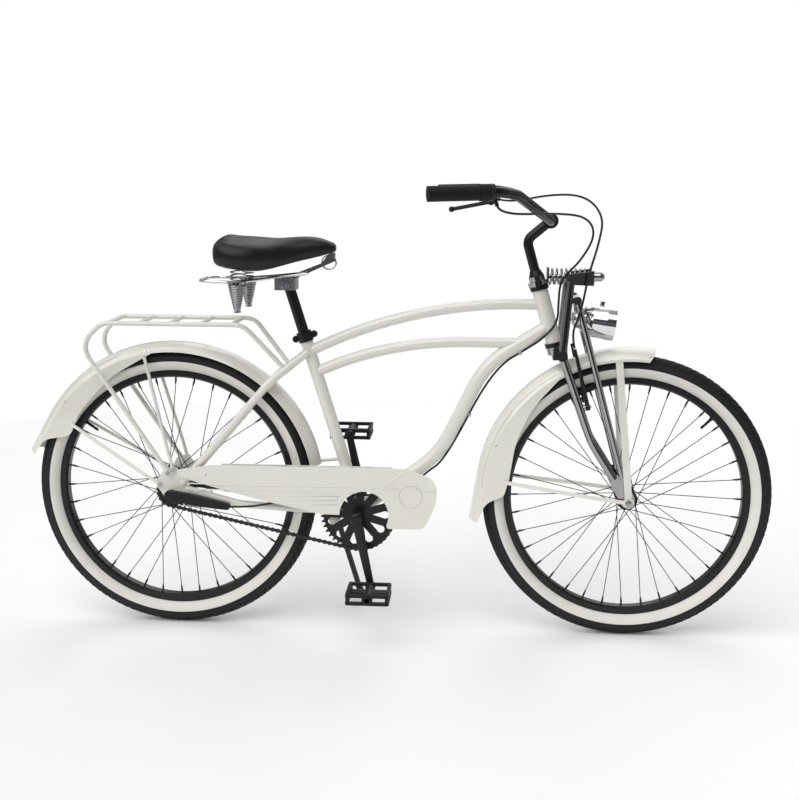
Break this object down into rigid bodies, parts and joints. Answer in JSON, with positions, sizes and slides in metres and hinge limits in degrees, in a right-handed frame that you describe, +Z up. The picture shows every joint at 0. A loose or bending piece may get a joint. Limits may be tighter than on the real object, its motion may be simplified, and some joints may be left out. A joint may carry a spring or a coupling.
{
  "type": "beach cruiser bicycle",
  "caption": "Step-over cruiser bicycle with curved twin top tubes, springer fork, fenders, rear rack, chain guard and swept-back bars; wheels, cranks, steering and fork move.",
  "frame": {"origin": "on the ground, in the middle of the overall box", "axes": "+X forward, +Y to the rider's left, +Z up"},
  "size_m": [1.7532, 0.6686, 1.057],
  "materials": {
    "ivory_paint": "glossy off-white paint",
    "tyre_rubber": "black tread with a cream sidewall band",
    "black_paint": "satin black paint",
    "chrome": "polished plating",
    "dark_chrome": "dark plating",
    "steel": "plain zinc-plated steel",
    "black_plastic": "moulded black plastic",
    "black_rubber": "soft black rubber",
    "black_vinyl": "padded black vinyl",
    "lens_clear": "clear lens",
    "cable_black": "black cable sheath",
    "chain_steel": "oiled dark steel"
  },
  "bodies": {
    "frame": {"head_tube": "ivory_paint", "top_tube": "ivory_paint", "twin_tube": "ivory_paint", "down_tube": "ivory_paint", "seat_tube": "ivory_paint", "bottom_bracket_shell": "ivory_paint", "rear_triangle": "ivory_paint", "bearing_cups": "black_paint", "seat_clamp": "black_paint", "chain_guard": "ivory_paint", "rear_fender": "ivory_paint", "rear_fender_stays": "ivory_paint", "rear_rack": "ivory_paint", "rear_axle": "steel", "bell_crank": "black_plastic", "coaster_arm": "black_paint", "shift_cable": "cable_black", "frame_fasteners": "steel", "chain": "chain_steel"},
    "seat": {"seat_post": "black_paint", "saddle_clamp": "steel", "saddle_frame": "chrome", "saddle_springs": "chrome", "saddle_base": "black_plastic", "saddle_cushion": "black_vinyl"},
    "steering": {"fork_crown": "dark_chrome", "stem": "black_paint", "handlebar": "black_paint", "grips": "black_rubber", "lever_bracket": "black_paint", "shifter_housing": "black_plastic", "spring_bolt": "dark_chrome", "bar_cables": "cable_black", "fork_spring": "dark_chrome"},
    "shifter": {"shifter_ring": "black_rubber"},
    "lever": {"brake_lever": "black_paint"},
    "springer": {"fork_legs": "dark_chrome", "truss_legs": "dark_chrome", "front_axle": "steel", "front_fender": "ivory_paint", "front_fender_stays": "ivory_paint", "headlight_shell": "chrome", "headlight_lens": "lens_clear"},
    "yoke": {"spring_yoke": "dark_chrome"},
    "front_wheel": {"front_tyre": "tyre_rubber", "front_rim": "black_paint", "front_spokes": "black_paint", "front_hub": "black_paint"},
    "rear_wheel": {"rear_tyre": "tyre_rubber", "rear_rim": "black_paint", "rear_spokes": "black_paint", "rear_hub": "black_paint"},
    "cranks": {"crank": "black_paint", "chainring": "black_paint"},
    "pedal_right": {"right_pedal": "black_plastic"},
    "pedal_left": {"left_pedal": "black_plastic"},
    "rear_sprocket": {"sprocket": "chain_steel"},
    "stand": {"kickstand": "black_paint"},
    "brake_arm_left": {"left_brake_arm": "black_paint"},
    "brake_arm_right": {"right_brake_arm": "black_paint"}
  },
  "joints": [
    {"name": "seat_height", "type": "slide", "parent": "frame", "child": "seat", "axis": [-0.2957, 0, 0.9553], "range_m": [-0.015, 0.06]},
    {"name": "steering_turn", "type": "hinge", "parent": "frame", "child": "steering", "pos_m": [0.32911, 0, 0.818], "axis": [-0.2756, 0, 0.9613], "range_deg": [-45, 45], "deforming": ["bar_cables"]},
    {"name": "springer_rock", "type": "hinge", "parent": "steering", "child": "springer", "pos_m": [0.38111, 0, 0.673], "axis": [0, 1, 0], "range_deg": [-5, 0], "stiffness_Nm_per_rad": 600, "springref_deg": 5.73, "deforming": ["fork_spring", "bar_cables"]},
    {"name": "yoke_level", "type": "hinge", "parent": "springer", "child": "yoke", "pos_m": [0.39911, 0, 0.846], "axis": [0, 1, 0], "range_deg": [-0.1, 5.1]},
    {"name": "front_wheel_spin", "type": "hinge", "parent": "springer", "child": "front_wheel", "pos_m": [0.54171, 0, 0.335], "axis": [0, 1, 0], "continuous": true},
    {"name": "rear_wheel_spin", "type": "hinge", "parent": "frame", "child": "rear_wheel", "pos_m": [-0.52289, 0, 0.335], "axis": [0, 1, 0], "continuous": true},
    {"name": "crank_turn", "type": "hinge", "parent": "frame", "child": "cranks", "pos_m": [-0.08489, 0, 0.289], "axis": [0, 1, 0], "range_deg": [-120, 170], "deforming": ["chain"]},
    {"name": "right_pedal_spin", "type": "hinge", "parent": "cranks", "child": "pedal_right", "pos_m": [-0.05058, -0.14, 0.12761], "axis": [0, 1, 0], "continuous": true},
    {"name": "left_pedal_spin", "type": "hinge", "parent": "cranks", "child": "pedal_left", "pos_m": [-0.11919, 0.14, 0.45039], "axis": [0, 1, 0], "continuous": true},
    {"name": "sprocket_turn", "type": "hinge", "parent": "frame", "child": "rear_sprocket", "pos_m": [-0.52289, -0.046, 0.335], "axis": [0, 1, 0], "range_deg": [-281, 397]},
    {"name": "stand_fold", "type": "hinge", "parent": "frame", "child": "stand", "pos_m": [-0.14789, 0.047, 0.262], "axis": [0.0331, 0.8631, 0.5039], "range_deg": [0, 96]},
    {"name": "brake_lever_pull", "type": "hinge", "parent": "steering", "child": "lever", "pos_m": [0.21711, 0.292, 1.01], "axis": [0.221, 0.9639, 0.1483], "range_deg": [0, 12], "stiffness_Nm_per_rad": 2, "springref_deg": -8.59, "deforming": ["bar_cables"]},
    {"name": "left_brake_squeeze", "type": "hinge", "parent": "springer", "child": "brake_arm_left", "pos_m": [0.44211, 0.05, 0.556], "axis": [0.9701, 0, 0.2425], "range_deg": [-0.05, 2.05]},
    {"name": "right_brake_squeeze", "type": "hinge", "parent": "springer", "child": "brake_arm_right", "pos_m": [0.44211, -0.05, 0.556], "axis": [-0.9701, 0, -0.2425], "range_deg": [-0.05, 2.05]},
    {"name": "shifter_twist", "type": "hinge", "parent": "steering", "child": "shifter", "pos_m": [0.19827, -0.29135, 1.03904], "axis": [-0.9721, -0.233, -0.0266], "range_deg": [-40, 40]}
  ],
  "couplings": [
    {"joint": "yoke_level", "follows": "springer_rock", "ratio": -1},
    {"joint": "sprocket_turn", "follows": "crank_turn", "ratio": 2.3333},
    {"joint": "left_brake_squeeze", "follows": "brake_lever_pull", "ratio": 0.16667},
    {"joint": "right_brake_squeeze", "follows": "brake_lever_pull", "ratio": 0.16667}
  ]
}
